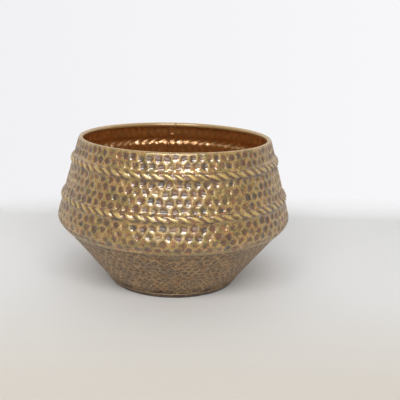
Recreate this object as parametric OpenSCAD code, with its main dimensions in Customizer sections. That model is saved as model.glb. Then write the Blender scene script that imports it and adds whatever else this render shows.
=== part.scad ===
// Hammered sheet-metal flower pot, made the way a tinsmith makes one: a rolled upper
// wall with a wired rim and two rope bands, a rolled cone lapped behind its hem, and a
// pressed base pan whose lip grips the foot of the cone. Solder joins the sheets.
// Millimetres, +Z up. The origin is the middle of the resting plane, and the laps in
// the rolled sheets face +Y, the back of the pot.

/* [Overall] */
// Height from the resting plane to the top of the rim
overall_h = 146; // [132:1:170]
// Diameter of the sharp corner that the rounded shoulder replaces
shoulder_d = 232.6; // [220:0.2:244]
// Height of that corner above the resting plane
shoulder_h = 67; // [60:0.5:72]
// Radius that rounds the shoulder, on the outside
shoulder_r = 10; // [7:0.5:12]
// Thickness of the embossed sheet
sheet_t = 0.8; // [0.6:0.05:1]

/* [Rim] */
// Outside diameter of the rolled rim
rim_d = 189.4; // [180:0.2:198]
// Diameter of the wire inside the rolled rim
wire_d = 3; // [2.4:0.1:3.6]
// How far the sheet curls round the wire, in degrees
curl_angle = 270; // [240:5:275]
// Gap between the wire and the sheet that curls round it
wire_gap = 0.05; // [0.02:0.01:0.15]
// Gap between the two ends of the wire
wire_end_gap = 0.8; // [0.4:0.1:2]

/* [Rope bands] */
// Distance from the top of the rim down to the middle of the upper band
upper_band_drop = 20; // [17:0.5:22]
// Distance from the shoulder's corner up to the middle of the lower band
lower_band_rise = 24.5; // [20:0.5:27]
// Width of the flat crest of the rib that carries a band
rib_crest = 7.6; // [7.2:0.1:8.4]
// Width of the slope on each side of that crest
rib_flank = 2.2; // [1.8:0.1:2.6]
// How far the crest stands out of the wall
rib_h = 1.2; // [0.8:0.1:1.6]
// Distance from strand to strand round the pot
strand_pitch = 10; // [9.6:0.1:12]
// Thickness of one strand
strand_d = 4.4; // [3.6:0.1:4.6]
// Length of one strand from tip to tip
strand_len = 8.8; // [7.6:0.2:9.4]
// How far a strand stands out of the crest
strand_rise = 1; // [0.6:0.1:1.3]
// Slope of the strands, in degrees from level
strand_slope = 30; // [26:1:36]

/* [Cone] */
// Outside diameter of the cone at its lower edge
foot_d = 124; // [116:1:132]
// Height of the lower edge above the base pan
foot_gap = 0.5; // [0.3:0.1:1]
// How far the hem, the lower edge of the upper wall, lies below the shoulder's corner
hem_drop = 9; // [8:0.5:11]
// How far the cone runs up behind the hem
hem_lap = 4.5; // [3:0.5:5]
// Gap between lapped sheets
lap_gap = 0.05; // [0.02:0.01:0.15]

/* [Base pan] */
// Width of the flat ring that the pot stands on
ring_w = 9; // [6:0.5:12]
// How far the middle of the pan is pressed up above that ring
panel_rise = 1.6; // [0.8:0.1:3]
// Width of the slope between the ring and the middle
step_w = 3; // [2:0.5:5]
// Height of the lip that grips the foot of the cone
lip_h = 5; // [3.5:0.25:6]
// Radius of the bend between the ring and the lip, on the outside
pan_bend_r = 3; // [1.5:0.25:3.5]

/* [Laps and solder] */
// Width of the lap where the ends of a rolled sheet overlap
side_lap = 7; // [5:0.5:10]
// Width of the groove that the lap leaves on the outside
groove_w = 0.5; // [0.3:0.05:1]
// Gap between solder and the sheet beside it
solder_gap = 0.03; // [0.01:0.01:0.06]
// Width of the solder along a side lap
seam_w = 1.6; // [1:0.1:2.5]
// Leg of the solder ring at the cone's upper edge
shoulder_leg = 1.2; // [0.8:0.1:1.4]
// Leg of the solder ring at the base
base_leg = 2.4; // [1.5:0.1:3.5]

/* [Hidden] */
$fn = 128;
brass = "#a98a4e";
dark_brass = "#7d6950";
steel = "#8d8d90";
solder = "#a89c86";
overrun = 1;
bend_steps = 6;
curl_steps = 16;
bar_sides = 8;
half_t = sheet_t / 2;

// A point in the section plane is [distance from the axis, height].
function unit(v) = v / norm(v);
function left_of(v) = [-v[1], v[0]];
function at_angle(a) = [cos(a), sin(a)];
function angle_of(v) = atan2(v[1], v[0]);
function reversed(list) = [for (i = [len(list) - 1:-1:0]) list[i]];
function arc(centre, r, from, to, steps) =
    [for (i = [0:steps]) centre + r * at_angle(from + (to - from) * i / steps)];
// The direction of a line that starts at one point and leaves another on its left by d
function passing(start, other, d) =
    let (v = other - start)
    at_angle(angle_of(v) - asin(d / norm(v)));
// Where the line through p along u crosses the line through q along v
function crossing(p, u, q, v) =
    p + u * (left_of(v) * (q - p)) / (left_of(v) * u);
// A bend of radius r that joins a line along u to one along v, which cross at p and
// turn left there
function bend(p, u, v, r) =
    let (turn = angle_of(v) - angle_of(u),
         centre = p + r / cos(turn / 2) * unit(left_of(u) + left_of(v)))
    arc(centre, r, angle_of(-left_of(u)), angle_of(-left_of(u)) + turn, bend_steps);
// A path moved to its left by d, with mitred corners
function shifted(path, d) =
    [for (i = [0:len(path) - 1])
        let (last = len(path) - 1,
             a = i == 0 ? unit(path[1] - path[0]) : unit(path[i] - path[i - 1]),
             b = i == last ? a : unit(path[i + 1] - path[i]),
             n = unit(left_of(a) + left_of(b)))
        path[i] + n * d / (n * left_of(a))];
// The outline between two distances from a path, both to its left
function outline(path, d0, d1) = concat(shifted(path, d0), reversed(shifted(path, d1)));

// The outside faces of the two walls. The upper one starts at the shoulder's corner
// and just touches the rolled rim, and the cone's runs one sheet and one gap behind
// that corner.
lap_step = sheet_t + lap_gap;
bead_r = wire_d / 2 + wire_gap + sheet_t;
bead_centre = [rim_d / 2 - bead_r, overall_h - bead_r];
corner = [shoulder_d / 2, shoulder_h];
foot = [foot_d / 2, sheet_t + foot_gap];
wall_dir = passing(corner, bead_centre, bead_r);
cone_dir = passing(foot, corner, -lap_step);
wall_in = left_of(wall_dir);
cone_in = left_of(cone_dir);

// The middle line of the upper wall, from the hem over the shoulder and the two ribs
wall_base = corner + half_t * wall_in;
hem_line = corner + half_t * cone_in;
hem = hem_line - cone_dir * hem_drop / cone_dir[1];
shoulder = bend(crossing(hem, cone_dir, wall_base, wall_dir), cone_dir, wall_dir,
                shoulder_r - half_t);
function on_wall(h) = wall_base + wall_dir * (h - wall_base[1]) / wall_dir[1];
function rib(h) =
    let (middle = on_wall(h), out = -rib_h * wall_in, w = rib_crest / 2, f = w + rib_flank)
    [middle - f * wall_dir, middle - w * wall_dir + out,
     middle + w * wall_dir + out, middle + f * wall_dir];
upper_band_h = overall_h - upper_band_drop;
lower_band_h = shoulder_h + lower_band_rise;
plain_wall = concat(shoulder, rib(lower_band_h), rib(upper_band_h));
curl = arc(bead_centre, bead_r - half_t, angle_of(-wall_in), angle_of(-wall_in) + curl_angle,
           curl_steps);
upper_path = concat([hem], plain_wall, curl);
// Its side lap ends clear of the shoulder's lap and of the curled rim.
upper_lap_path = concat(plain_wall, [on_wall(overall_h - 2 * bead_r - sheet_t)]);

// The middle line of the cone, and the part of it that the side lap covers
cone_foot = foot + half_t * cone_in;
cone_top = hem + lap_step * cone_in + hem_lap * cone_dir;
cone_path = [cone_foot, cone_top];
lower_lap_path = [cone_foot + (base_leg + sheet_t) * cone_dir, cone_top];

// The middle line of the base pan, from its middle out to the edge of the lip
ring_in = foot[0] - ring_w;
lip_line = cone_foot - lap_step * cone_in;
pan_bend = bend(crossing([ring_in, half_t], [1, 0], lip_line, cone_dir), [1, 0], cone_dir,
                pan_bend_r - half_t);
pan_path = concat([[0, half_t + panel_rise], [ring_in - step_w, half_t + panel_rise],
                   [ring_in, half_t]],
                  pan_bend,
                  [lip_line + cone_dir * (lip_h - lip_line[1]) / cone_dir[1]]);

// Distances to the left of a rolled sheet's middle line, at its side lap
tongue_near = half_t + lap_gap;
tongue_far = tongue_near + sheet_t;

// The outline between two distances from a path, turned round the pot's axis
module turned(path, d0, d1) {
    rotate_extrude() polygon(outline(path, d0, d1));
}
// What lies at the back of the pot between two distances from the plane X = 0
module at_back(x0, x1) {
    intersection() {
        children();
        translate([x0, 0, 0]) cube([x1 - x0, shoulder_d, overall_h + overrun]);
    }
}
// A sheet rolled up along a path: one end stops at the groove, the other steps in by a
// sheet and runs on behind it as a tongue
module rolled_sheet(path, lap_path) {
    step_x = groove_w / 2 + sheet_t;
    difference() {
        children();
        translate([-groove_w / 2, 0, 0]) cube([groove_w, shoulder_d, overall_h + overrun]);
    }
    at_back(-side_lap, step_x) turned(lap_path, tongue_near, tongue_far);
    at_back(groove_w / 2, step_x) turned(lap_path, 0, tongue_near + half_t);
}
// Solder along the free edge of that tongue
module seam_solder(lap_path) {
    edge = -side_lap - solder_gap;
    at_back(edge - seam_w, edge) turned(lap_path, half_t + solder_gap, tongue_far);
}
// A ring of solder in the corner between two faces: p is the corner, and the legs run
// from it along u and v
module solder_ring(p, u, v) {
    rotate_extrude() polygon([p, p + u, p + v]);
}
// One strand of a rope band: an eight-sided bar that lies along X, cut flat below
module strand() {
    cut = strand_d / 2 - strand_rise - half_t;
    difference() {
        translate([-strand_len / 2, 0, 0]) rotate([0, 90, 0]) rotate([0, 0, 180 / bar_sides])
            cylinder(d = strand_d, h = strand_len, $fn = bar_sides);
        translate([-strand_len, -strand_d, cut - 2 * strand_d])
            cube([2 * strand_len, 2 * strand_d, 2 * strand_d]);
    }
}
// The strands round the crest of the rib at height h
module rope_band(h) {
    axis_at = on_wall(h) - (rib_h + half_t + strand_rise - strand_d / 2) * wall_in;
    count = round(2 * PI * axis_at[0] / strand_pitch);
    for (i = [0:count - 1])
        rotate([0, 0, 360 * (i + 0.5) / count])
            translate([axis_at[0], 0, axis_at[1]])
                rotate([0, 90 - angle_of(wall_dir), 0])
                    rotate([-strand_slope, 0, 0])
                        rotate([90, 0, 90])
                            strand();
}

module upper_wall() {
    color(brass) rolled_sheet(upper_path, upper_lap_path) {
        turned(upper_path, -half_t, half_t);
        rope_band(upper_band_h);
        rope_band(lower_band_h);
    }
}
module rim_wire() {
    end_angle = asin(wire_end_gap / 2 / bead_centre[0]);
    color(steel) rotate([0, 0, end_angle]) rotate_extrude(angle = 360 - 2 * end_angle)
        translate(bead_centre) circle(d = wire_d);
}
module upper_seam_solder() {
    color(solder) seam_solder(upper_lap_path);
}
module lower_wall() {
    color(dark_brass) rolled_sheet(cone_path, lower_lap_path)
        turned(cone_path, -half_t, half_t);
}
module lower_seam_solder() {
    color(solder) seam_solder(lower_lap_path);
}
module shoulder_solder() {
    edge = hem + (half_t + solder_gap) * cone_in + (hem_lap + solder_gap) * cone_dir;
    color(solder) solder_ring(edge, shoulder_leg * cone_dir, sheet_t * cone_in);
}
module base_pan() {
    color(dark_brass) turned(pan_path, -half_t, half_t);
}
module base_solder() {
    ring_top = [ring_in, sheet_t + solder_gap];
    cone_face = cone_foot + (half_t + solder_gap) * cone_in;
    color(solder) solder_ring(crossing(ring_top, [1, 0], cone_face, cone_dir),
                              base_leg * cone_dir, [-base_leg, 0]);
}

upper_wall();
rim_wire();
upper_seam_solder();
lower_wall();
lower_seam_solder();
shoulder_solder();
base_pan();
base_solder();
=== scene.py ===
# %% [markdown]
# # A hammered brass planter
# This lesson dresses a CAD model of a round sheet-metal flower pot. The real pot has three sheets:
# an upper wall with a rolled rim and two rope bands, a cone lapped behind its hem, and a base pan.
# The CAD model holds their true outlines. Here the two embossed sheets are made again with their
# relief, the other pieces keep their CAD shape, and everything gets its finish, floor and light.

from math import asin, atan, atan2, cos, degrees, pi, radians, sin

import bmesh
import bpy
import numpy as np
from mathutils import Matrix, Vector


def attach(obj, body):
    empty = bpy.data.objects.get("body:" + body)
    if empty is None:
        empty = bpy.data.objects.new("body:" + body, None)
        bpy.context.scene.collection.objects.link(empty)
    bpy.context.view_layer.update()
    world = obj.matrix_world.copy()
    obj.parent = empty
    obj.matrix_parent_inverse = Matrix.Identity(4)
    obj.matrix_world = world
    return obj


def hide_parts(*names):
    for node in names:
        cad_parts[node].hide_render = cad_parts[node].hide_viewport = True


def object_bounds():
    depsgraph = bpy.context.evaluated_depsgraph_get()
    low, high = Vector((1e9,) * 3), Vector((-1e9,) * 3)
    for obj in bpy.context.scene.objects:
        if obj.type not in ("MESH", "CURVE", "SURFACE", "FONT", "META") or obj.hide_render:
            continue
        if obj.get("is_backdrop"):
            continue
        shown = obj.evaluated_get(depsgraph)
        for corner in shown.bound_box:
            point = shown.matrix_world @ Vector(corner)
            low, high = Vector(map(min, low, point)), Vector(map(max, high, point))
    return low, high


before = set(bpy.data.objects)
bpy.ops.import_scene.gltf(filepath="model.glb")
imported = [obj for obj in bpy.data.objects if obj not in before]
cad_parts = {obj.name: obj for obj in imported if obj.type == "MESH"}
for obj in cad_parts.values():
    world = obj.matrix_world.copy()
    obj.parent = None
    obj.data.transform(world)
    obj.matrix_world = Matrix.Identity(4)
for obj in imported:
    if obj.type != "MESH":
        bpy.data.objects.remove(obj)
cad_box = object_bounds()
print("CAD nodes:", ", ".join(sorted(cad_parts)))

# %% [markdown]
# ## The section of the sheets
# A pot rolled from sheet is known by one line: the middle of its sheet, seen in a cut through the
# axis. The values below are those of the CAD model, in millimetres. A point of the cut is
# [distance from the axis, height], and a sheet's left side, going up, is its inside.

# %% Sizes
MM = 0.001
overall_h = 146.0
shoulder_d = 232.6
shoulder_h = 67.0
shoulder_r = 10.0
foot_d = 124.0
foot_gap = 0.5
sheet_t = 0.8
half_t = sheet_t / 2
rim_d = 189.4
bead_r = 2.35
curl_r = bead_r - half_t
curl_turn = radians(270)
hem_drop = 9.0
hem_lap = 4.5
lap_gap = 0.05
lap_step = sheet_t + lap_gap

# %% Directions and crossings


def unit(v):
    return v / np.linalg.norm(v)


def left_of(v):
    return np.array([-v[1], v[0]])


def angle_of(v):
    return atan2(v[1], v[0])


def at_angle(a):
    return np.array([cos(a), sin(a)])


def passing(start, other, d):
    """The direction of a line from start that leaves other on its left by d."""
    v = other - start
    return at_angle(angle_of(v) - asin(d / np.linalg.norm(v)))


def crossing(p, u, q, v):
    """Where the line through p along u crosses the line through q along v."""
    return p + u * np.dot(left_of(v), q - p) / np.dot(left_of(v), u)


# %% Where the wall and the cone run
corner = np.array([shoulder_d / 2, shoulder_h])
foot = np.array([foot_d / 2, sheet_t + foot_gap])
bead_centre = np.array([rim_d / 2 - bead_r, overall_h - bead_r])
wall_dir = passing(corner, bead_centre, bead_r)
cone_dir = passing(foot, corner, -lap_step)
wall_in = left_of(wall_dir)
cone_in = left_of(cone_dir)
print(f"the wall leans in {degrees(angle_of(wall_dir)) - 90:.1f} degrees, "
      f"and the cone leans out {90 - degrees(angle_of(cone_dir)):.1f} degrees")

# %% Bands, ribs and the ends of the lines
upper_band_h = 125.6
lower_band_h = 90.8
rib_h = 1.1
rib_flat = 1.0
rib_reach = 5.6
wall_base = corner + half_t * wall_in
hem = corner + half_t * cone_in - cone_dir * hem_drop / cone_dir[1]
cone_foot = foot + half_t * cone_in
cone_top = hem + lap_step * cone_in + hem_lap * cone_dir

# %% Points along lines and arcs
line_step = 0.25


def smooth_step(low, high, x):
    """0 below low, 1 above high, and an S-curve between them."""
    t = np.clip((x - low) / (high - low), 0, 1)
    return t * t * (3 - 2 * t)


def on_line(a, b):
    """Points a short step apart from a towards b, without b."""
    count = max(2, round(np.linalg.norm(b - a) / line_step))
    return [a + (b - a) * i / count for i in range(count)]


def on_arc(centre, r, start, turn):
    """Points a short step apart along an arc, without its end."""
    count = max(8, round(abs(turn) * r / line_step))
    return [centre + r * at_angle(start + turn * i / count) for i in range(count)]


# %% The middle lines of the two walls


def from_band(points, height):
    """How far each point of the wall lies above a band's middle, along the sheet."""
    return (points - wall_base) @ wall_dir - (height - wall_base[1]) / wall_dir[1]


def upper_line():
    """From the hem over the shoulder and the two ribs, and round the rolled rim."""
    bend_r = shoulder_r - half_t
    turn = angle_of(wall_dir) - angle_of(cone_dir)
    start = angle_of(-cone_in)
    middle = crossing(hem, cone_dir, wall_base, wall_dir)
    middle = middle + bend_r / cos(turn / 2) * unit(cone_in + wall_in)
    curl_start = angle_of(-wall_in)
    points = on_line(hem, middle + bend_r * at_angle(start))
    points += on_arc(middle, bend_r, start, turn)
    points += on_line(middle + bend_r * at_angle(start + turn),
                      bead_centre + curl_r * at_angle(curl_start))
    points += on_arc(bead_centre, curl_r, curl_start, curl_turn)
    points = np.array(points)
    straight = np.abs((points - wall_base) @ wall_in) < line_step / 4
    for height in (lower_band_h, upper_band_h):
        rise = rib_h * smooth_step(rib_reach, rib_flat, np.abs(from_band(points, height)))
        points = points - (rise * straight)[:, None] * wall_in
    return points


def lower_line():
    """The cone is straight from its foot to its edge behind the hem."""
    return np.array(on_line(cone_foot, cone_top) + [cone_top])


print(f"the upper wall's line has {len(upper_line())} points, the cone's {len(lower_line())}")

# %% [markdown]
# ## From a line to a closed outline
# A sheet has two faces. The outline runs up the outer face, round the edge, down the inner face and
# round the other edge, and each of its points becomes one row of the turned mesh. A mesh that is
# equally fine everywhere would be too big, so the rows are close together outside, closer still on
# the ropes, and further apart inside, but for the part that shows through the mouth. Each point
# also keeps its place on the outer face, because a hammer blow that makes a hollow outside makes a
# bump inside at the same place.

# %% Outline of a sheet
rope_gain = 0.7
rope_fade = (5.5, 3.5)
seen_gain = 0.6
seen_rope_gain = 2.4
seen_fade = 4.0
dense_count = 2000


def outline(line, outer_rows, inner_rows, curl_share=0.0, curl_rows=(0, 0), thick=sheet_t,
            ropes=(), seen_above=None, cover=0.0):
    """Points, their place on the outer face, the inward direction, and 1 on the inner face.

    Rows lie closer together near the heights in ropes, and inside above seen_above, the part that
    shows through the mouth. A strip behind the wall has a cover of sheet over it.
    """
    s = np.concatenate([[0], np.cumsum(np.linalg.norm(np.diff(line, axis=0), axis=1))])
    tangent = np.gradient(line, s, axis=0)
    tangent /= np.linalg.norm(tangent, axis=1)[:, None]
    inward = np.stack([-tangent[:, 1], tangent[:, 0]], 1)
    bend = s[-1] * (1 - curl_share)

    def stations(rows, more, inside=False):
        dense = np.linspace(0, bend, dense_count)
        heights = np.interp(dense, s, line[:, 1])
        weight = np.ones(len(dense))
        for height in ropes:
            seen = inside and seen_above and height > seen_above
            gain = seen_rope_gain if seen else rope_gain
            weight += gain * smooth_step(*rope_fade, np.abs(heights - height))
        if inside and seen_above:
            weight += seen_gain * smooth_step(seen_above - seen_fade, seen_above + seen_fade, heights)
        share = np.concatenate([[0], np.cumsum((weight[1:] + weight[:-1]) / 2)])
        parts = [np.interp(np.linspace(0, share[-1], rows), share, dense)]
        if more:
            parts.append(np.linspace(bend, s[-1], more + 1)[1:])
        return np.concatenate(parts)

    def look(values, where):
        return np.stack([np.interp(where, s, values[:, k]) for k in (0, 1)], 1)

    up = stations(outer_rows, curl_rows[0])
    down = stations(inner_rows, curl_rows[1], inside=True)[::-1]
    half = thick / 2
    where = np.concatenate([up, [s[-1]] * 2, down, [0] * 2])
    place, normal = look(line, where), look(inward, where)
    # -1 on the outer face, 1 on the inner one, and two points between them round each edge
    side = np.concatenate([-np.ones(len(up)), [-0.5, 0.5], np.ones(len(down)), [0.5, -0.5]])
    beyond = np.sqrt(1 - side ** 2) * half * np.where(where > 0, 1, -1)
    forward = np.stack([normal[:, 1], -normal[:, 0]], 1)
    at = place + side[:, None] * half * normal + beyond[:, None] * forward
    return {"at": at, "face": place - (half + cover) * normal, "inward": normal,
            "lining": (side > 0).astype(float), "where": where / s[-1]}


# %% The outlines of both walls
curl_length = curl_r * curl_turn
upper_s = np.linalg.norm(np.diff(upper_line(), axis=0), axis=1).sum()
upper_outline = outline(upper_line(), outer_rows=94, inner_rows=38, curl_share=curl_length / upper_s,
                        curl_rows=(7, 4), ropes=(lower_band_h, upper_band_h), seen_above=106.0)
lower_outline = outline(lower_line(), outer_rows=84, inner_rows=46)
print(f"{len(upper_outline['at'])} rows in the upper wall, {len(lower_outline['at'])} in the cone")

# %% [markdown]
# ## Where the relief goes
# The dents stop short of the hem, the ropes and the rim. On the ropes the wall carries strands
# instead, and there each point keeps its distance above the rope's middle. The rolled rim is plain.
# Painted shade darkens the wall along the hem's edge and under the ropes, and the cone under the
# hem, and the cone gets darker towards its foot. Each pair below says where such a value starts and
# where it is full: a height, or a distance from the middle of a rope, in millimetres.

# %% Relief along the upper wall and the cone
strands_upper = 64
strands_lower = 70
rope_reach = 8.5
hem_grip = (58.4, 60.2)
rope_grip = (1.7, 3.1)
rim_grip = (146.0, 145.0)
# Painted shade along the hem's edge and under each rope
hem_edge_shade = (59.6, 58.6)
under_rope_shade = (-6.2, -4.2)
under_rope_shade_end = (-1.8, -3.0)
bead_start = (145.2, 145.8)
curl_end = (0.8, 0.7)
foot_grip = (4.5, 8.0)
cone_top_grip = (61.0, 58.5)
# The cone gets darker towards its foot, and painted shade darkens it under the hem
foot_darkening = (12.0, 6.0)
under_hem_shade = (55.0, 58.0)
under_hem_shade_share = 0.7


def upper_relief(shape):
    """How strongly each point takes dents and strands, and which rope it is on."""
    face = shape["face"]
    height = face[:, 1]
    on_bead = shape["where"] > 1 - curl_length / upper_s
    grip = smooth_step(*hem_grip, height) * smooth_step(*rim_grip, height)
    # Painted shade along the hem's edge, and under each rope in the loop below
    stain = smooth_step(*hem_edge_shade, height)
    band = np.full(len(face), 1.0)
    strands = np.zeros(len(face))
    for middle, count in ((lower_band_h, strands_lower), (upper_band_h, strands_upper)):
        u = from_band(face, middle)
        grip = grip * smooth_step(*rope_grip, np.abs(u))
        stain = stain + smooth_step(*under_rope_shade, u) * smooth_step(*under_rope_shade_end, u)
        near = np.abs(u) < rope_reach
        band[near] = u[near] * MM
        strands[near] = count
    band[on_bead] = 1.0
    grip = grip * (shape["where"] < 1 - curl_end[0] * curl_length / upper_s)
    turned_under = smooth_step(*curl_end, (1 - shape["where"]) * upper_s / curl_length)
    bead = np.minimum(smooth_step(*bead_start, height) + turned_under, 1)
    return {"grip": grip, "band": band, "strands": strands, "bead": bead, "stain": stain}


def lower_relief(shape):
    """The same for the cone, whose dents fade under the hem and above the base pan's lip."""
    height = shape["face"][:, 1]
    grip = smooth_step(*foot_grip, height) * smooth_step(*cone_top_grip, height)
    # Darker towards the foot, and painted shade under the hem
    stain = smooth_step(*foot_darkening, height)
    stain = stain + under_hem_shade_share * smooth_step(*under_hem_shade, height)
    none = np.zeros(len(height))
    return {"grip": grip, "band": none + 1.0, "strands": none, "bead": none, "stain": stain}


# %% Keep an outline as a mesh


def placed(name, data):
    """A new object in the scene."""
    made = bpy.data.objects.new(name, data)
    bpy.context.scene.collection.objects.link(made)
    return made


def carry(mesh, values):
    """Lets each point of a mesh carry one number under each name."""
    for key, numbers in values.items():
        mesh.attributes.new(key, "FLOAT", "POINT").data.foreach_set("value", np.array(numbers, float))


def outline_object(name, shape, relief):
    """A mesh of the outline's points and edges, with what each point knows."""
    count = len(shape["at"])
    mesh = bpy.data.meshes.new(name)
    mesh.from_pydata([(r * MM, z * MM, 0) for r, z in shape["at"]],
                     [(i, (i + 1) % count) for i in range(count)], [])
    flat = np.zeros((count, 1))
    vectors = {"face": np.hstack([shape["face"] * MM, flat]),
               "inward": np.hstack([shape["inward"], flat])}
    for key, values in vectors.items():
        mesh.attributes.new(key, "FLOAT_VECTOR", "POINT").data.foreach_set("vector", values.ravel())
    carry(mesh, dict(relief, lining=shape["lining"]))
    return placed(name, mesh)


# %% [markdown]
# ## Small helpers for node trees
# Node trees for geometry and for finishes are written with the same few helpers. A value that is
# given as a socket is linked, and any other value is set on the input itself.

# %% Add and link nodes


def plug(tree, socket, value):
    if isinstance(value, bpy.types.NodeSocket):
        tree.links.new(value, socket)
    else:
        socket.default_value = value


def add(tree, kind, inputs=None, **settings):
    """One node, with its settings and inputs."""
    made = tree.nodes.new(kind)
    for key, value in settings.items():
        setattr(made, key, value)
    for key, value in (inputs or {}).items():
        plug(tree, made.inputs[key], value)
    return made


def first(tree, kind, inputs=None, **settings):
    """The first output of a new node."""
    return add(tree, kind, inputs, **settings).outputs[0]


def operated(tree, kind, operation, values):
    made = add(tree, kind, operation=operation)
    for socket, value in zip(made.inputs, values):
        plug(tree, socket, value)
    return made.outputs


# %% Sums, vectors and fades


def calc(tree, operation, *values):
    return operated(tree, "ShaderNodeMath", operation, values)[0]


def plus(tree, a, b):
    return calc(tree, "ADD", a, b)


def minus(tree, a, b):
    return calc(tree, "SUBTRACT", a, b)


def times(tree, a, b):
    return calc(tree, "MULTIPLY", a, b)


def over(tree, a, b):
    return calc(tree, "DIVIDE", a, b)


def whole(tree, operation, *values):
    return operated(tree, "FunctionNodeIntegerMath", operation, values)[0]


def vector(tree, operation, *values):
    made = operated(tree, "ShaderNodeVectorMath", operation, values)
    return made["Value" if operation in ("DISTANCE", "LENGTH", "DOT_PRODUCT") else "Vector"]


def split(tree, v):
    """The X, Y and Z of a vector."""
    return add(tree, "ShaderNodeSeparateXYZ", {"Vector": v}).outputs


def scaled(tree, v, factor):
    return first(tree, "ShaderNodeVectorMath", {"Vector": v, "Scale": factor}, operation="SCALE")


def fade(tree, value, low, high, to_low=0.0, to_high=1.0):
    """A smooth step from one value to another."""
    return add(tree, "ShaderNodeMapRange",
               {"Value": value, "From Min": low, "From Max": high, "To Min": to_low,
                "To Max": to_high}, interpolation_type="SMOOTHSTEP").outputs["Result"]


def eased(tree, share, a, b):
    """A smooth change from a to b, as share goes from 0 to 1."""
    return fade(tree, share, 0.0, 1.0, a, b)


def noise_at(tree, place, scale, detail, roughness=0.5):
    return add(tree, "ShaderNodeTexNoise", {"Vector": place, "Scale": scale, "Detail": detail,
                                            "Roughness": roughness}).outputs


# %% A new tree with named inputs


def new_tree(name, kind, inputs, outputs):
    """A node group. Each input is given by its default number, or else by its socket type."""
    tree = bpy.data.node_groups.new(name, kind)
    for key, value in inputs.items():
        number = {int: "Int", float: "Float"}.get(type(value))
        wanted = "NodeSocket" + (number or value)
        socket = tree.interface.new_socket(key, in_out="INPUT", socket_type=wanted)
        if number:
            socket.default_value = value
    for key, socket_type in outputs.items():
        tree.interface.new_socket(key, in_out="OUTPUT", socket_type="NodeSocket" + socket_type)
    return tree, tree.nodes.new("NodeGroupInput").outputs, tree.nodes.new("NodeGroupOutput").inputs


# %% [markdown]
# ## The hammer blows
# The real sheet is embossed with rows of round dents, about 80 in a turn, each row shifted by half a
# step. A texture could fake them, but a cloud of points is easier to steer: every point is one blow
# with its own place, width and force, a little off the pattern as by hand. Its tone and wear tell the
# finish how dark its patina is and how much of it was rubbed off.

# %% Read rows, and keep values on points


def from_row(tree, source, name, at_row, kind="FLOAT"):
    """The value that a row of the source mesh has under a name."""
    value = first(tree, "GeometryNodeInputNamedAttribute", {"Name": name}, data_type=kind)
    return first(tree, "GeometryNodeSampleIndex", {"Geometry": source, "Value": value, "Index": at_row},
                 data_type=kind)


def point_count(tree, geometry):
    return add(tree, "GeometryNodeAttributeDomainSize", {"Geometry": geometry},
               component="MESH").outputs["Point Count"]


def stored(tree, geometry, values):
    """The geometry, with values kept under their names."""
    for key, value in values.items():
        geometry = first(tree, "GeometryNodeStoreNamedAttribute",
                         {"Geometry": geometry, "Name": key, "Value": value}, data_type="FLOAT")
    return geometry


def chances(tree, least, index, seed):
    """Three numbers by chance, from least to 1, for each index."""
    limits = {"Min": (least, least, least), "Max": (1, 1, 1), "ID": index, "Seed": seed}
    return split(tree, first(tree, "FunctionNodeRandomValue", limits, data_type="FLOAT_VECTOR"))


def turned(tree, r, z, turn):
    """The point at a distance from the axis and a height, turned round the axis."""
    return first(tree, "ShaderNodeCombineXYZ", {
        "X": times(tree, r, calc(tree, "COSINE", turn)),
        "Y": times(tree, r, calc(tree, "SINE", turn)), "Z": z})


def moved_to(tree, geometry, position):
    return first(tree, "GeometryNodeSetPosition", {"Geometry": geometry, "Position": position})


# %% A tree that places the blows
reach_spread = 0.14
least_force = 0.55
force_spread = 0.5
blow_tree, given, result = new_tree(
    "hammer_blows", "GeometryNodeTree",
    {"Geometry": "Geometry", "Blows per Turn": 80, "Seed": 1}, {"Geometry": "Geometry"})
t = blow_tree
rows = given["Geometry"]
row_count = point_count(t, rows)
per_turn = given["Blows per Turn"]
grid = first(t, "GeometryNodeMeshGrid", {"Vertices X": per_turn, "Vertices Y": row_count})
points = first(t, "GeometryNodeMeshToPoints", {"Mesh": grid})
points = first(t, "GeometryNodePointsToVertices", {"Points": points})
index = first(t, "GeometryNodeInputIndex")
row = whole(t, "MODULO", index, row_count)
step = whole(t, "DIVIDE_FLOOR", index, row_count)
place = split(t, from_row(t, rows, "position", row, "FLOAT_VECTOR"))
reach = from_row(t, rows, "reach", row)
throw = from_row(t, rows, "throw", row)
chance = chances(t, -1, index, given["Seed"])
luck = chances(t, 0, index, whole(t, "ADD", given["Seed"], 1))
shift = times(t, whole(t, "MODULO", row, 2), 0.5)
turn = over(t, plus(t, step, shift), per_turn)
turn = times(t, turn, 2 * pi)
turn = plus(t, turn, over(t, times(t, throw, chance["X"]), place["X"]))
height = plus(t, place["Y"], times(t, throw, chance["Y"]))
kept = {"reach": times(t, reach, plus(t, 1.0, times(t, chance["Z"], reach_spread))),
        "force": plus(t, least_force, times(t, luck["X"], force_spread)),
        "tone": luck["Y"], "wear": luck["Z"]}
points = stored(t, points, kept)
plug(t, result["Geometry"], moved_to(t, points, turned(t, place["X"], height, turn)))
print(f"the blows' tree has {len(t.nodes)} nodes")

# %% [markdown]
# ## The rows of dents
# The photo shows ten rows on the upper wall: two under the rim, four between the ropes, and four
# below them. Their heights were read off the picture. Blank rows, too small to press anything, stand
# on the ropes, under the hem and above the rim, so that the dents beside them don't run on there. The
# cone's rows follow from the width of a dent, which shrinks with the cone.

# %% Turn rows into blows
blows_per_turn = 80


def run_tree(owner, tree, values):
    """Puts a geometry tree on an object, with values for some of its inputs."""
    modifier = owner.modifiers.new(tree.name, "NODES")
    modifier.node_group = tree
    for item in tree.interface.items_tree:
        if item.in_out == "INPUT" and item.name in values:
            modifier[item.identifier] = values[item.name]


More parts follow.
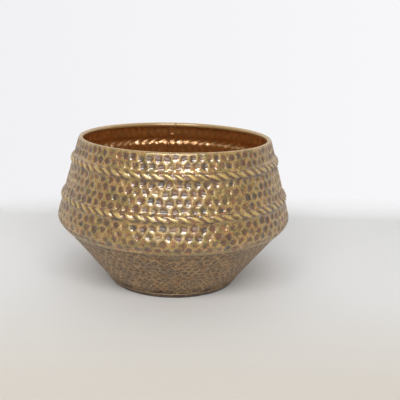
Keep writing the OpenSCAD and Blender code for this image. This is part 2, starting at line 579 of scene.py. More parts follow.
def blow_object(name, rows, seed):
    """rows: (distance from the axis, height, width of a dent, scatter), in millimetres."""
    mesh = bpy.data.meshes.new(name)
    mesh.from_pydata([(r * MM, z * MM, 0) for r, z, width, scatter in rows], [], [])
    carry(mesh, {"reach": [width / 2 * MM for r, z, width, scatter in rows],
                 "throw": [scatter * MM for r, z, width, scatter in rows]})
    made = placed(name, mesh)
    run_tree(made, blow_tree, {"Blows per Turn": blows_per_turn, "Seed": seed})
    return made


def radius_at(shape, height):
    """The outer face's distance from the axis at a height."""
    outer = shape["lining"] < 0.5
    face = shape["face"][outer]
    order = np.argsort(face[:, 1])
    return float(np.interp(height, face[order, 1], face[order, 0]))


# %% The rows of the upper wall
seed_upper = 11
upper_rows = [63.4, 69.4, 75.7, 82.5, 97.6, 104.7, 112.2, 118.8, 134.4, 140.8]
blank_rows = [56.6, 90.4, upper_band_h, 149.4]
dent_width = 11.0
blank_width = 0.2
blank_scatter = 1.8
dent_scatter = 1.1
upper_list = []
for z in sorted(upper_rows + blank_rows):
    width, scatter = (dent_width, dent_scatter) if z in upper_rows else (blank_width, blank_scatter)
    upper_list.append((radius_at(upper_outline, z), z, width, scatter))
upper_blows = blow_object("upper_blows", upper_list, seed_upper)
print(f"{len(upper_rows)} rows of dents on the upper wall")

# %% The rows of the cone
seed_lower = 29
row_share = 0.74
dent_share = 1.25
scatter_share = 0.2
top_row = 57.0
lowest_row = 5.5
lower_rows = []
height = top_row
while height > lowest_row:
    r = radius_at(lower_outline, height)
    pitch = 2 * pi * r / blows_per_turn
    lower_rows.append((r, height, dent_share * pitch, scatter_share * pitch))
    height -= row_share * pitch * cone_dir[1]
lower_blows = blow_object("lower_blows", lower_rows, seed_lower)
print(f"{len(lower_rows)} rows of dents on the cone")

# %% [markdown]
# ## The turned sheet
# A rolled and embossed sheet could be sculpted, or displaced by a picture. Here one tree turns the
# outline round the axis, from one edge of the groove beside the lap to the other. It needs one grid:
# its columns go round the pot, a little closer together in front, and its rows follow the outline.
# The two edges of the groove are closed later by filled outlines.

# %% A tree that turns and embosses an outline
sheet_tree, given, result = new_tree(
    "turned_sheet", "GeometryNodeTree",
    {"Geometry": "Geometry", "Material": "Material", "Columns": 640, "Crowding": 0.3,
     "From X": -0.00006, "To X": 0.00006, "Turns": 1.0,
     "Solder X": -0.0078, "Solder Half Width": 0.0012, "Bare Width": 0.0011,
     "Blows": "Object", "Blows per Turn": 80, "Wander": 0.0022, "Wander Scale": 240.0,
     "Dent Depth": 0.0011, "Bowl Power": 2.8, "Corners": 3.2, "Lining Gain": 0.7,
     "Rope Height": 0.0011, "Rope Wander": 0.004, "Rope Scale": 110.0,
     "Strand Slope": radians(33), "Strand Length": 0.0078, "Strand Width": 0.0020,
     "Crest Shift": -0.45, "Tail Rise": 0.0016},
    {"Geometry": "Geometry"})
t = sheet_tree
section = given["Geometry"]
row_count = point_count(t, section)
line_count = whole(t, "ADD", row_count, 1)
shell = first(t, "GeometryNodeMeshGrid", {"Vertices X": given["Columns"], "Vertices Y": line_count})
index = first(t, "GeometryNodeInputIndex")
row = whole(t, "MODULO", whole(t, "MODULO", index, line_count), row_count)
column = whole(t, "DIVIDE_FLOOR", index, line_count)
share = over(t, column, whole(t, "SUBTRACT", given["Columns"], 1))
wave = calc(t, "SINE", times(t, share, 2 * pi))
share = calc(t, "MULTIPLY_ADD", wave, over(t, given["Crowding"], 2 * pi), share)


def angle_at(tree, x, r, turns):
    """The angle round the axis of a place x beside the plane of the groove."""
    beside = calc(tree, "ARCSINE", over(tree, x, r))
    return minus(tree, calc(tree, "MULTIPLY_ADD", turns, 2 * pi, pi / 2), beside)


place = split(t, from_row(t, section, "position", row, "FLOAT_VECTOR"))
face = split(t, from_row(t, section, "face", row, "FLOAT_VECTOR"))
from_angle = angle_at(t, given["From X"], place["X"], 0.0)
to_angle = angle_at(t, given["To X"], place["X"], given["Turns"])
turn = calc(t, "MULTIPLY_ADD", share, minus(t, to_angle, from_angle), from_angle)

# %% [markdown]
# ## Dents that share their borders
# Seen close, the dents aren't loose circles. They crowd each other, and between two of them only a
# narrow ridge is left, as between the cells of a comb. So every point of the sheet asks for its
# nearest blow, and measures how far it is on the way to the bowl's end: at the blow's own reach, or
# halfway to the next blow, whichever comes first. A little noise in the question bends the ridges.

# %% How far each point is from its blow's centre, 0, to the bowl's end, 1
on_face = turned(t, face["X"], face["Y"], turn)
stir = noise_at(t, on_face, given["Wander Scale"], detail=1.0)
stir = vector(t, "SUBTRACT", stir["Color"], (0.5, 0.5, 0.5))
asked = vector(t, "ADD", on_face, scaled(t, stir, given["Wander"]))
cloud = add(t, "GeometryNodeObjectInfo", {"Object": given["Blows"]}).outputs["Geometry"]
nearest = first(t, "GeometryNodeSampleNearest", {"Geometry": cloud, "Sample Position": asked})
centre = from_row(t, cloud, "position", nearest, "FLOAT_VECTOR")
per_turn = given["Blows per Turn"]
blow_rows = whole(t, "DIVIDE_FLOOR", point_count(t, cloud), per_turn)
own_row = whole(t, "MODULO", nearest, blow_rows)
own_step = whole(t, "DIVIDE_FLOOR", nearest, blow_rows)
odd = whole(t, "MODULO", own_row, 2)
# The six blows around: two in the own row, two in the row below and two in the row above. Odd rows
# stand half a step on. Beyond the last row, the next blow of the own row is asked once more.
near_all = 0.0
for row_change, step_change in ((0, -1), (0, 1), (-1, -1), (-1, 0), (1, -1), (1, 0)):
    next_row = whole(t, "MAXIMUM", whole(t, "ADD", own_row, row_change), 0)
    next_row = whole(t, "MINIMUM", next_row, whole(t, "SUBTRACT", blow_rows, 1))
    change = step_change
    if row_change:
        moved = whole(t, "ABSOLUTE", whole(t, "SUBTRACT", next_row, own_row))
        change = whole(t, "MULTIPLY", whole(t, "ADD", odd, step_change), moved)
        change = whole(t, "ADD", change, whole(t, "SUBTRACT", 1, moved))
    next_step = whole(t, "ADD", whole(t, "ADD", own_step, change), per_turn)
    next_step = whole(t, "MODULO", next_step, per_turn)
    neighbour = whole(t, "ADD", whole(t, "MULTIPLY", next_step, blow_rows), next_row)
    between = vector(t, "SUBTRACT", from_row(t, cloud, "position", neighbour, "FLOAT_VECTOR"), centre)
    reached = vector(t, "DOT_PRODUCT", vector(t, "SUBTRACT", asked, centre), between)
    halfway = times(t, vector(t, "DOT_PRODUCT", between, between), 0.5)
    near_edge = over(t, calc(t, "MAXIMUM", reached, 0.0), halfway)
    near_all = plus(t, calc(t, "POWER", near_edge, given["Corners"]), near_all)
# A high power in Corners keeps the borders straight, and a low one rounds the cell.
near_all = calc(t, "POWER", near_all, over(t, 1.0, given["Corners"]))
off = over(t, vector(t, "DISTANCE", asked, centre), from_row(t, cloud, "reach", nearest))
rise = calc(t, "POWER", calc(t, "MAXIMUM", near_all, off), given["Bowl Power"])

# %% How deep the sheet is pressed there
bowl = minus(t, 1.0, calc(t, "MINIMUM", rise, 1.0))
worn_least = 0.5
worn_most = 1.1
hollow_fade = (0.9, 0.0)
kept_patina = eased(t, from_row(t, cloud, "wear", nearest), worn_least, worn_most)
hollow = times(t, fade(t, rise, *hollow_fade), kept_patina)
# At the back the sheet stays smooth at the groove, at its own edges and over the solder.
beside = times(t, place["X"], calc(t, "COSINE", turn))
clear = calc(t, "ABSOLUTE", beside)
for edge in (given["From X"], given["To X"]):
    clear = calc(t, "MINIMUM", clear, calc(t, "ABSOLUTE", minus(t, beside, edge)))
from_solder = calc(t, "ABSOLUTE", minus(t, beside, given["Solder X"]))
clear = calc(t, "MINIMUM", clear, minus(t, from_solder, given["Solder Half Width"]))
in_front = calc(t, "LESS_THAN", calc(t, "SINE", turn), 0.0)
off_lap = calc(t, "MAXIMUM", fade(t, clear, 0.0, given["Bare Width"]), in_front)
grip = times(t, from_row(t, section, "grip", row), off_lap)
pressed = times(t, times(t, bowl, grip), from_row(t, cloud, "force", nearest))
dent = times(t, pressed, given["Dent Depth"])

# %% [markdown]
# ## Ropes
# Such ropes are rolled into the sheet by wheels with slanting teeth. Each strand is a long slanting
# swelling that lies over the end of the next. A wave would give even bars. Here each strand is an
# oval of its own, measured along and across its slope: its crest lies low, its ends bend up and
# down, and noise moves it a little. The grooves keep their patina, and the crests are painted a
# brighter gold as a painted highlight.

# %% The strands of the ropes
strand_ends = (-1.5, -0.5, 0.5)
tail_power = 3.0
rope_edge = (0.0040, 0.0030)
groove_fade = (0.4, 0.0, 0.0, 0.8)
crest_fade = (0.3, 0.9, 0.0, 0.5)
blot = noise_at(t, on_face, given["Rope Scale"], detail=2.0)
uneven = split(t, vector(t, "SUBTRACT", blot["Color"], (0.5, 0.5, 0.5)))
above = calc(t, "MULTIPLY_ADD", uneven["X"], given["Rope Wander"], from_row(t, section, "band", row))
strands = from_row(t, section, "strands", row)
lean_sin = calc(t, "SINE", given["Strand Slope"])
lean_cos = calc(t, "COSINE", given["Strand Slope"])
pitch = over(t, times(t, face["X"], 2 * pi), calc(t, "MAXIMUM", strands, 1.0))
phase = times(t, strands, over(t, turn, 2 * pi))
slip = over(t, times(t, uneven["Y"], given["Rope Wander"]), pitch)
phase = calc(t, "FRACT", plus(t, phase, slip))
strand = 0.0
for end in strand_ends:
    level = times(t, plus(t, phase, end), pitch)
    along = minus(t, times(t, level, lean_cos), times(t, above, lean_sin))
    along = over(t, along, given["Strand Length"])
    across = plus(t, times(t, level, lean_sin), times(t, above, lean_cos))
    tail = times(t, calc(t, "POWER", calc(t, "ABSOLUTE", along), tail_power), calc(t, "SIGN", along))
    across = minus(t, across, times(t, tail, given["Tail Rise"]))
    across = over(t, across, given["Strand Width"])
    across = minus(t, across, given["Crest Shift"])
    upper_side = over(t, across, minus(t, 1.0, given["Crest Shift"]))
    lower_side = over(t, across, plus(t, 1.0, given["Crest Shift"]))
    across = calc(t, "MAXIMUM", upper_side, times(t, lower_side, -1.0))
    far = plus(t, times(t, along, along), times(t, across, across))
    strand = calc(t, "MAXIMUM", minus(t, 1.0, calc(t, "MINIMUM", far, 1.0)), strand)
strand = times(t, strand, off_lap)
swell = times(t, strand, given["Rope Height"])
on_rope = fade(t, calc(t, "ABSOLUTE", above), *rope_edge)
groove = times(t, fade(t, strand, *groove_fade), on_rope)
# On the crests the patina is rubbed off, and the finish paints a highlight there, a brighter gold
crest = times(t, fade(t, strand, *crest_fade), on_rope)

# %% Positions, and values for the finish
darkening_noise_fade = (0.4, 0.6)
inward = split(t, from_row(t, section, "inward", row, "FLOAT_VECTOR"))
lining = from_row(t, section, "lining", row)
bump = times(t, times(t, dent, given["Lining Gain"]), lining)
move = minus(t, plus(t, dent, bump), swell)
position = turned(t, calc(t, "MULTIPLY_ADD", inward["X"], move, place["X"]),
                  calc(t, "MULTIPLY_ADD", inward["Y"], move, place["Y"]), turn)
recess = minus(t, calc(t, "MAXIMUM", times(t, hollow, grip), groove), crest)
# The darkening, painted shade under the ropes and the hem and a darker foot, broken up by noise
stain = times(t, from_row(t, section, "stain", row), fade(t, blot["Fac"], *darkening_noise_fade))
shell = stored(t, shell, {"recess": recess, "stain": stain, "lining": lining,
                          "tone": from_row(t, cloud, "tone", nearest),
                          "bead": from_row(t, section, "bead", row)})
shell = moved_to(t, shell, position)
shell = first(t, "GeometryNodeSetShadeSmooth", {"Geometry": shell, "Shade Smooth": True})

# %% Close the edges of the groove, and weld everything to one sheet
weld_distance = 2e-6
join = add(t, "GeometryNodeJoinGeometry")
t.links.new(shell, join.inputs[0])
here = split(t, first(t, "GeometryNodeInputPosition"))
for key, turns, flip in (("From X", 0.0, False), ("To X", given["Turns"], True)):
    curve = first(t, "GeometryNodeMeshToCurve", {"Mesh": section})
    end = first(t, "GeometryNodeFillCurve", {"Curve": curve})
    end_angle = angle_at(t, given[key], here["X"], turns)
    end = moved_to(t, end, turned(t, here["X"], here["Y"], end_angle))
    end = first(t, "GeometryNodeSetShadeSmooth", {"Geometry": end, "Shade Smooth": False})
    if flip:
        end = first(t, "GeometryNodeFlipFaces", {"Mesh": end})
    t.links.new(end, join.inputs[0])
made = first(t, "GeometryNodeMergeByDistance", {"Geometry": join.outputs[0], "Distance": weld_distance})
made = first(t, "GeometryNodeRealizeInstances", {"Geometry": made})
made = first(t, "GeometryNodeSetMaterial", {"Geometry": made, "Material": given["Material"]})
plug(t, result["Geometry"], made)
print(f"the sheet's tree has {len(t.nodes)} nodes")

# %% [markdown]
# ## Baking the sheets
# The tree runs on the outline, and its result is turned into a plain mesh, so that nothing depends
# on the modifier later. Each rolled sheet laps over itself at the back: a tongue runs on behind the
# groove, and a step joins it to the wall. The same tree turns both. They take their dents from the
# wall's outer face over them, so that they bend with it, and are then joined to their sheet.

# %% Bake a turned sheet, or a strip of it
strip_rows = 84
strip_columns = 10


def baked(name, source, inputs):
    """The tree's result on a source object as a plain mesh object."""
    run_tree(source, sheet_tree, inputs)
    graph = bpy.context.evaluated_depsgraph_get()
    mesh = bpy.data.meshes.new_from_object(source.evaluated_get(graph))
    bpy.data.objects.remove(source)
    return placed(name, mesh)


def strip(name, line, x0, x1, thick, cover, relief, inputs):
    """A strip of sheet along a line, from one distance beside the groove to another."""
    shape = outline(line, strip_rows, strip_rows, thick=thick, cover=cover)
    shape["lining"][:] = 1.0
    place = {"From X": x0 * MM, "To X": x1 * MM, "Columns": strip_columns, "Turns": 0.0}
    return baked(name, outline_object(name + "_outline", shape, relief(shape)), {**inputs, **place})


# %% Join and measure


def joined(pieces):
    bpy.ops.object.select_all(action="DESELECT")
    for piece in pieces:
        piece.select_set(True)
    bpy.context.view_layer.objects.active = pieces[0]
    bpy.ops.object.join()
    return pieces[0]


def report(piece):
    """Prints a mesh's size, and whether it is closed with its faces outward."""
    mesh = bmesh.new()
    mesh.from_mesh(piece.data)
    open_edges = sum(1 for edge in mesh.edges if len(edge.link_faces) != 2)
    triangles = sum(len(face.verts) - 2 for face in mesh.faces)
    print(f"{piece.name}: {triangles} triangles, {open_edges} open edges, "
          f"{mesh.calc_volume(signed=True) * 1e6:.1f} ml of sheet")
    mesh.free()


# %% A rolled sheet with its lap
side_lap = 7.0
# The step runs from half the CAD model's groove to the place where it meets the wall.
groove_w = 0.5
step_end = 1.05


def offset(line, distance):
    """A line moved inward."""
    tangent = np.gradient(line, axis=0)
    tangent /= np.linalg.norm(tangent, axis=1)[:, None]
    return line + distance * np.stack([-tangent[:, 1], tangent[:, 0]], 1)


def rolled(name, shape, relief, lap_line, inputs):
    """A whole rolled sheet: the wall, its tongue behind the groove and the step between."""
    wall = baked(name, outline_object(name + "_outline", shape, relief(shape)), inputs)
    tongue = strip(name + "_tongue", offset(lap_line, lap_step), step_end, -side_lap, sheet_t,
                   lap_step, relief, inputs)
    step = strip(name + "_step", offset(lap_line, lap_step / 2), step_end, groove_w / 2, lap_step,
                 half_t, relief, inputs)
    whole_piece = joined([wall, tongue, step])
    report(whole_piece)
    return whole_piece


# %% Turn and emboss both walls
upper_lap_start = 60.5
upper_lap_end = overall_h - 2 * bead_r - sheet_t
lower_lap_start = 3.8
cone_dent = 0.6
embossed = bpy.data.materials.new("embossed_brass")
duller = bpy.data.materials.new("dark_brass")
line = upper_line()
lap = line[(line[:, 1] > upper_lap_start) & (line[:, 1] < upper_lap_end)]
upper_wall = rolled("upper_wall_sheet", upper_outline, upper_relief, lap,
                    {"Blows": upper_blows, "Material": embossed})
line = lower_line()
lap = line[line[:, 1] > lower_lap_start]
lower_wall = rolled("lower_wall_sheet", lower_outline, lower_relief, lap,
                    {"Blows": lower_blows, "Material": duller, "Dent Depth": cone_dent * MM})
for blows in (upper_blows, lower_blows):
    bpy.data.objects.remove(blows)
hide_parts("upper_wall")
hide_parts("lower_wall")
for piece in (upper_wall, lower_wall):
    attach(piece, "root")

# %% [markdown]
# ## The antique brass finish
# The real sheet was darkened all over, rubbed until the brass showed on the high places, and then
# lacquered. The finish could be painted on, but the mesh already knows what is high and what is low:
# the tree kept it as recess. So one shared group turns recess and noise into how much patina is left,
# and every brass part uses it.

# %% A shared group that says how much patina is left
grain_share = 0.7
mottle_share = 0.5
cloud_share = 0.4
tint_fade = (0.35, 0.65)
speck_fade = (0.47, 0.62)


def colour_mix(tree, factor, a, b):
    made = tree.nodes.new("ShaderNodeMix")
    made.data_type = "RGBA"
    plug(tree, made.inputs[0], factor)
    plug(tree, made.inputs[6], a)
    plug(tree, made.inputs[7], b)
    return made.outputs[2]


def object_place(tree):
    return add(tree, "ShaderNodeTexCoord").outputs["Object"]


def noise(tree, scale, detail=2.0, roughness=0.5):
    return noise_at(tree, object_place(tree), scale, detail, roughness)["Fac"]


patina_group, given, result = new_tree(
    "rubbed_patina", "ShaderNodeTree",
    {"Recess": 0.0, "Start": -0.1, "End": 0.8,
     "Unevenness": 2.4},
    {"Patina": "Float", "Grain": "Float", "Tint": "Float", "Specks": "Float"})
t = patina_group
grain = noise(t, scale=420.0, detail=4.0, roughness=0.7)
mottled = noise(t, scale=240.0)
stray = calc(t, "MULTIPLY_ADD", mottled, mottle_share, times(t, grain, grain_share))
stray = calc(t, "MULTIPLY_ADD", noise(t, scale=90.0), cloud_share, stray)
stray = minus(t, stray, (grain_share + mottle_share + cloud_share) / 2)
recess = calc(t, "MULTIPLY_ADD", stray, given["Unevenness"], given["Recess"])
plug(t, result["Patina"], fade(t, recess, given["Start"], given["End"]))
plug(t, result["Grain"], grain)
plug(t, result["Tint"], fade(t, mottled, *tint_fade))
plug(t, result["Specks"], fade(t, noise(t, scale=620.0, detail=3.0, roughness=0.7), *speck_fade))

# %% Helpers for finishes


def rgb(r, g, b):
    """A colour written as on the screen, 0 to 255, as linear values."""
    def linear(v):
        v = v / 255
        return v / 12.92 if v <= 0.04045 else ((v + 0.055) / 1.055) ** 2.4
    return (linear(r), linear(g), linear(b), 1.0)


def known(tree, name):
    """A value that the mesh carries under this name."""
    return add(tree, "ShaderNodeAttribute", attribute_name=name).outputs["Fac"]


def spots(tree, scale, start, full, amount):
    """Spots by chance: 0 below start in a noise of this scale, and amount at full."""
    return fade(tree, noise(tree, scale), start, full, 0.0, amount)


def layered(tree, colour, layers):
    """A colour with tints laid over it, each as (how much, tint)."""
    for factor, tint in layers:
        colour = colour_mix(tree, factor, colour, tint)
    return colour


def start_material(material, fixed):
    """The node tree and the shader's inputs of a material, with its fixed values set."""
    material.use_nodes = True
    tree = material.node_tree
    tree.nodes.clear()
    shader = tree.nodes.new("ShaderNodeBsdfPrincipled")
    out = tree.nodes.new("ShaderNodeOutputMaterial")
    tree.links.new(shader.outputs[0], out.inputs["Surface"])
    for key, value in fixed.items():
        shader.inputs[key].default_value = value
    return tree, shader.inputs


def rubbed(tree, group_inputs):
    made = tree.nodes.new("ShaderNodeGroup")
    made.node_tree = patina_group
    for key, value in group_inputs.items():
        plug(tree, made.inputs[key], value)
    return made.outputs


# %% [markdown]
# ## The upper wall
# Gold lies on the ridges and dark brown in the dents, orange where the patina ends, and a brighter
# gold on the crests of the strands, which is a painted highlight. Painted shade darkens the hem's
# edge and the wall under the ropes. Spots of copper and olive and dark specks keep it from looking
# printed. The clear coat gives the sharp highlights. It is weaker where the sheet is seen at a flat
# angle, because there it would lie over the colours like fog. A fine bump rounds the border of each
# dent. Inside, the sheet has a coppery brown lacquer and wasn't rubbed.

# %% Colours, spots and shares of the upper wall
gold = rgb(186, 153, 86)
orange_tint = rgb(188, 118, 62)
copper_tint = rgb(186, 128, 72)
olive_tint = rgb(146, 126, 62)
patina = rgb(84, 50, 24)
slate_patina = rgb(58, 50, 32)
rim_gold = rgb(184, 152, 100)
lining_dark = rgb(172, 117, 62)
lining_light = rgb(204, 150, 88)
# A brown for dark specks and for painted shade
speck_and_shade_brown = rgb(66, 48, 34)
# A painted highlight on the crests of the strands
strand_highlight_gold = rgb(222, 190, 114)
lining_roughness = 0.28
lining_metallic = 0.75
grain_height = 0.09
# Spots: scale of the noise, start, full and amount. Fades: from, to, and the values at both
copper_spots = (150.0, 0.54, 0.7, 0.5)
olive_spots = (110.0, 0.52, 0.4, 0.8)
orange_spots = (170.0, 0.5, 0.62, 2.2)
tone_fade = (0.3, 0.9)
lip_fade = (0.1, 0.6, 0.0, -0.08)
# The painted highlight on the crests of the strands
crest_highlight_fade = (-0.2, -0.5, 0.0, 0.55)
flat_view_fade = (0.4, 0.9, 1.0, 0.1)
tint_share = 0.3
speck_share = 0.65
darkening_share = 0.8
lining_noise = (40.0, 3.0)
# Each pair: on bare brass, and on full patina
wall_roughness = (0.30, 0.40)
wall_metallic = (0.30, 0.15)
wall_coat = (0.9, 1.0)

# %% Antique brass on the upper wall
t, shader = start_material(embossed, {"Coat Roughness": 0.08, "Coat IOR": 1.8,
                                      "Specular IOR Level": 0.3})
inside = known(t, "lining")
recess = known(t, "recess")
worn = rubbed(t, {"Recess": recess})
deep = colour_mix(t, fade(t, known(t, "tone"), *tone_fade), patina, slate_patina)
deep = colour_mix(t, times(t, worn["Tint"], tint_share), deep, copper_tint)
border = times(t, worn["Patina"], minus(t, 1.0, worn["Patina"]))
outside = layered(t, gold, [
    (spots(t, *copper_spots), copper_tint),
    (spots(t, *olive_spots), olive_tint),
    (worn["Patina"], deep),
    (times(t, border, spots(t, *orange_spots)), orange_tint),
    (times(t, worn["Specks"], speck_share), speck_and_shade_brown),
    (known(t, "bead"), rim_gold),
    # A painted highlight: a brighter gold on the crests of the strands
    (fade(t, recess, *crest_highlight_fade), strand_highlight_gold),
    # Painted shade along the hem's edge and under the ropes
    (times(t, known(t, "stain"), darkening_share), speck_and_shade_brown)])
lining = colour_mix(t, noise(t, *lining_noise), lining_dark, lining_light)
plug(t, shader["Base Color"], colour_mix(t, inside, outside, lining))
roughness = eased(t, worn["Patina"], *wall_roughness)
plug(t, shader["Roughness"], eased(t, inside, roughness, lining_roughness))
metallic = eased(t, worn["Patina"], *wall_metallic)
plug(t, shader["Metallic"], eased(t, inside, metallic, lining_metallic))
facing = add(t, "ShaderNodeLayerWeight", {"Blend": 0.5}).outputs["Facing"]
coat = eased(t, worn["Patina"], *wall_coat)
plug(t, shader["Coat Weight"], times(t, coat, fade(t, facing, *flat_view_fade)))
tap = calc(t, "MULTIPLY_ADD", worn["Grain"], grain_height, fade(t, recess, *lip_fade))
bump = first(t, "ShaderNodeBump", {"Height": tap, "Strength": 1.0, "Distance": 0.001})
plug(t, shader["Normal"], bump)

# %% [markdown]
# ## The cone and the base pan
# The cone has a browner and duller brass. Its dents are shallow and wide, so the patina starts sooner
# on it, and leaves only thin lighter lines between the dents. It gets darker towards its foot, and
# painted shade darkens it under the hem. The base pan is nearly all patina, worn along the edge of
# its lip. Its inside is seen from above, and has the lining's lacquer.

# %% The duller brass of the cone
dull_high = rgb(194, 162, 117)
dull_patina = rgb(143, 122, 98)
dull_orange = rgb(180, 134, 90)
dull_grey = rgb(142, 126, 108)
stain_grey = rgb(84, 66, 58)
cone_darkening_colour = rgb(56, 42, 46)
dull_orange_spots = (120.0, 0.5, 0.7, 0.5)
dull_grey_spots = (60.0, 0.5, 0.35, 0.5)
dull_speck_share = 0.8
cone_darkening_share = 0.9
dull_roughness = (0.42, 0.55)
dull_finish = {"Metallic": 0.85, "Coat Weight": 0.15, "Coat Roughness": 0.35}
t, shader = start_material(duller, dull_finish)
worn = rubbed(t, {"Recess": known(t, "recess"), "Unevenness": 2.8, "Start": -0.3, "End": 0.7})
outside = layered(t, dull_high, [
    (worn["Patina"], dull_patina),
    (spots(t, *dull_orange_spots), dull_orange),
    (spots(t, *dull_grey_spots), dull_grey),
    (times(t, worn["Specks"], dull_speck_share), stain_grey),
    # Darker towards the foot, and painted shade under the hem
    (times(t, known(t, "stain"), cone_darkening_share), cone_darkening_colour)])
plug(t, shader["Base Color"], colour_mix(t, known(t, "lining"), outside, lining_dark))
plug(t, shader["Roughness"], eased(t, worn["Patina"], *dull_roughness))
bump = first(t, "ShaderNodeBump", {"Height": worn["Grain"], "Strength": 0.4, "Distance": 0.0003})
plug(t, shader["Normal"], bump)

# %% The base pan, with the lining's lacquer on the faces that look up inside the cone
foot_high = rgb(178, 154, 122)
lip_edge = (0.0044, 0.0050)
cone_foot_r = (0.0606, 0.0600)
upward_fade = (0.3, 0.6)
pan_roughness = (0.4, 0.55)
foot_brass = bpy.data.materials.new("foot_brass")
t, shader = start_material(foot_brass, dull_finish)
worn = rubbed(t, {"Recess": 0.55, "Unevenness": 1.2})
place = object_place(t)
level = vector(t, "MULTIPLY", place, (1.0, 1.0, 0.0))
upward = split(t, add(t, "ShaderNodeNewGeometry").outputs["Normal"])["Z"]
pan_inside = times(t, fade(t, upward, *upward_fade), fade(t, vector(t, "LENGTH", level), *cone_foot_r))
pan_lining = colour_mix(t, noise(t, *lining_noise), lining_dark, lining_light)
plug(t, shader["Base Color"], layered(t, foot_high, [
    (worn["Patina"], stain_grey),
    (fade(t, split(t, place)["Z"], *lip_edge), foot_high),
    (pan_inside, pan_lining)]))
plug(t, shader["Roughness"], eased(t, worn["Patina"], *pan_roughness))

# %% [markdown]
# ## Solder and steel
# The solder was lacquered over with the sheet, so it is coppery too, but blotchy. The rim wire is
# plain drawn steel, and shows only through the slot under the curl. Both keep their CAD shape.

# %% Finish the CAD pieces
blotch_fade = (0.3, 0.7, 0.3, 0.45)


def blotchy(name, scale, detail, dark, light, metallic):
    """A metal in two blotchy tones, rougher where it is lighter."""
    material = bpy.data.materials.new(name)
    tree, inputs = start_material(material, {"Metallic": metallic})
    blotch = noise(tree, scale, detail)
    plug(tree, inputs["Base Color"], colour_mix(tree, blotch, dark, light))
    plug(tree, inputs["Roughness"], fade(tree, blotch, *blotch_fade))
    return material


solder_dark = rgb(150, 108, 66)
steel_dark = rgb(150, 150, 152)
steel_light = rgb(180, 180, 182)
solder = blotchy("solder", 260.0, 3.0, solder_dark, lining_light, metallic=0.85)
steel = blotchy("wire_steel", 400.0, 2.0, steel_dark, steel_light, metallic=1.0)
finishes = {"base_pan": foot_brass, "rim_wire": steel, "upper_seam_solder": solder,
            "lower_seam_solder": solder, "shoulder_solder": solder, "base_solder": solder}
for node_name, material in finishes.items():
    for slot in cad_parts[node_name].material_slots:
        slot.material = material
print("finishes given to", ", ".join(finishes))

# %% [markdown]
# ## Floor and backdrop
# The photo was taken on a pale table in front of a pale sheet. Two planes would show a hard line, so
# the floor and the backdrop are one sheet with a soft fold behind the pot. For the camera the
# backdrop is a painted glow, a little lighter to the right, and the floor has painted shade towards
# the front. From behind and from below the sheet is clear to the camera, so that it doesn't hide
# the pot, but it still shades and reflects as before.

# %% The bent sheet
stage_half_w = 1.6
floor_edges = (-1.8, -0.6, -0.2)
fold_y = 0.243
fold_r = 0.02
wall_top = 1.6
fold_steps = 10
profile = [(y, 0.0) for y in floor_edges]
for i in range(fold_steps + 1):
    a = pi / 2 * i / fold_steps
    profile.append((fold_y - fold_r + fold_r * sin(a), fold_r - fold_r * cos(a)))
profile.append((fold_y, wall_top))
verts = [(x, y, z) for y, z in profile for x in (-stage_half_w, stage_half_w)]
faces = [(2 * i, 2 * i + 1, 2 * i + 3, 2 * i + 2) for i in range(len(profile) - 1)]
mesh = bpy.data.meshes.new("floor_and_backdrop")
mesh.from_pydata(verts, [], faces)
mesh.shade_smooth()
print(f"floor and backdrop: {len(faces)} faces")

# %% Pale paper that doesn't hide the pot
near_y = -0.30
glow_start = (0.0, 0.03)
glow_half_w = 0.35
floor_grey = rgb(228, 228, 227)
floor_front_shade = rgb(206, 199, 188)
wall_grey = rgb(240, 239, 240)
glow_left = rgb(241, 240, 243)
glow_right = rgb(247, 247, 249)
paper = bpy.data.materials.new("pale_paper")
t, shader = start_material(paper, {"Roughness": 0.8, "Specular IOR Level": 0.2})
place = split(t, object_place(t))
plug(t, shader["Base Color"], layered(t, floor_grey, [
    # Painted shade: the floor darkens and warms towards the camera
    (fade(t, place["Y"], 0.0, near_y), floor_front_shade),
    (fade(t, place["Z"], 0.0, fold_r), wall_grey)]))
# The backdrop glows for the camera, painted a little lighter to the right
glow = first(t, "ShaderNodeEmission", {"Color": colour_mix(
    t, fade(t, place["X"], -glow_half_w, glow_half_w), glow_left, glow_right)})
clear = first(t, "ShaderNodeBsdfTransparent")
seen = first(t, "ShaderNodeLightPath")
from_behind = times(t, add(t, "ShaderNodeNewGeometry").outputs["Backfacing"], seen)
output = next(node for node in t.nodes if node.type == "OUTPUT_MATERIAL")
lit = output.inputs["Surface"].links[0].from_socket
for factor, other in ((times(t, seen, fade(t, place["Z"], *glow_start)), glow), (from_behind, clear)):
    lit = first(t, "ShaderNodeMixShader", {0: factor, 1: lit, 2: other})
plug(t, output.inputs["Surface"], lit)
mesh.materials.append(paper)
floor = placed("floor_and_backdrop", mesh)
floor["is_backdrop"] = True

# %% [markdown]
# ## Light
# The photo has soft light from all round and one bright strip above in front, which every dent
# mirrors at its lower edge. A room picture would bring things of its own into the brass, so three
# lamps do it: the strip, a low and weak one that gives the hollows their grey sheen, and one above
# behind for the rim and the inside of the back.

# %% World and lamps
world = bpy.data.worlds.new("soft_room")
bpy.context.scene.world = world
world.use_nodes = True
world.node_tree.nodes["Background"].inputs["Color"].default_value = (0.98, 0.99, 1.0, 1.0)
world.node_tree.nodes["Background"].inputs["Strength"].default_value = 0.45


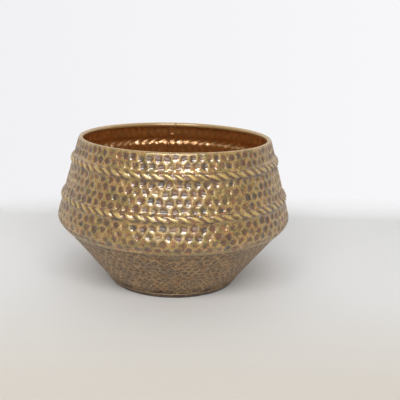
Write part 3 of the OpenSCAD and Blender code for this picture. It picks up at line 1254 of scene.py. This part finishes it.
def lamp(name, place, target, width, height, power):
    """A soft rectangular lamp at a place, facing a target."""
    data = bpy.data.lights.new(name, "AREA")
    data.shape = "RECTANGLE"
    data.size = width
    data.size_y = height
    data.energy = power
    made = placed(name, data)
    made.location = place
    made.rotation_euler = (Vector(target) - Vector(place)).to_track_quat("-Z", "Y").to_euler()
    made.visible_camera = False
    made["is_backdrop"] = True
    print(f"{name}: {width} by {height} m, {power} W")


lamp("softbox", (-0.05, -0.95, 0.94), (0.0, 0.0, 0.08), width=1.2, height=0.26, power=10.6)
lamp("low_fill", (-0.06, -1.45, 0.46), (0.0, 0.0, 0.10), width=1.5, height=0.40, power=3.2)
lamp("back_light", (0.0, 0.70, 1.15), (0.0, -0.1, 0.0), width=1.4, height=0.6, power=6.5)

# %% [markdown]
# ## The camera
# The camera was fitted to the photo's rim, bands and foot: it stands 70 cm away, about 14 degrees
# above the horizon, and the pot sits left of the picture's middle.

# %% Camera
aim = Vector((0.0, 0.0, 0.080))
distance = 0.700
elevation = radians(14.35)
roll = radians(-1.15)
focal_px = 692.43
frame_px = 400
aim_px = (174.3, 200.9)


def swung(a, b, angle):
    """Two directions at right angles, turned in their plane."""
    return (cos(angle) * a - sin(angle) * b, cos(angle) * b + sin(angle) * a)


eye = aim + distance * Vector((0, -cos(elevation), sin(elevation)))
forward = (aim - eye).normalized()
right = Vector((1, 0, 0))
up = right.cross(forward)
yaw = atan((aim_px[0] - frame_px / 2) / focal_px)
forward, right = swung(forward, right, yaw)
pitch = atan((frame_px / 2 - aim_px[1]) / focal_px)
forward, up = swung(forward, up, pitch)
right, up = swung(right, up, roll)
camera_data = bpy.data.cameras.new("camera")
camera_data.sensor_width = 36.0
camera_data.lens = focal_px / frame_px * camera_data.sensor_width
camera = placed("camera", camera_data)
camera.matrix_world = Matrix.Translation(eye) @ Matrix((right, up, -forward)).transposed().to_4x4()
bpy.context.scene.camera = camera
bpy.context.scene.view_settings.view_transform = "Standard"
print(f"lens {camera_data.lens:.1f} mm at {distance:.2f} m")

# %% [markdown]
# ## The size of the pot
# The relief mustn't change the size of the pot. Both boxes are printed: the dressed object's and
# the CAD model's.

# %% Print the dressed object's box and the CAD box, and finish
new_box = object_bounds()
sizes = {"cad": [list(v) for v in cad_box], "dressed": [list(v) for v in new_box]}
for name, box in sizes.items():
    print(name, [round(v * 1000, 2) for corner_point in box for v in corner_point])
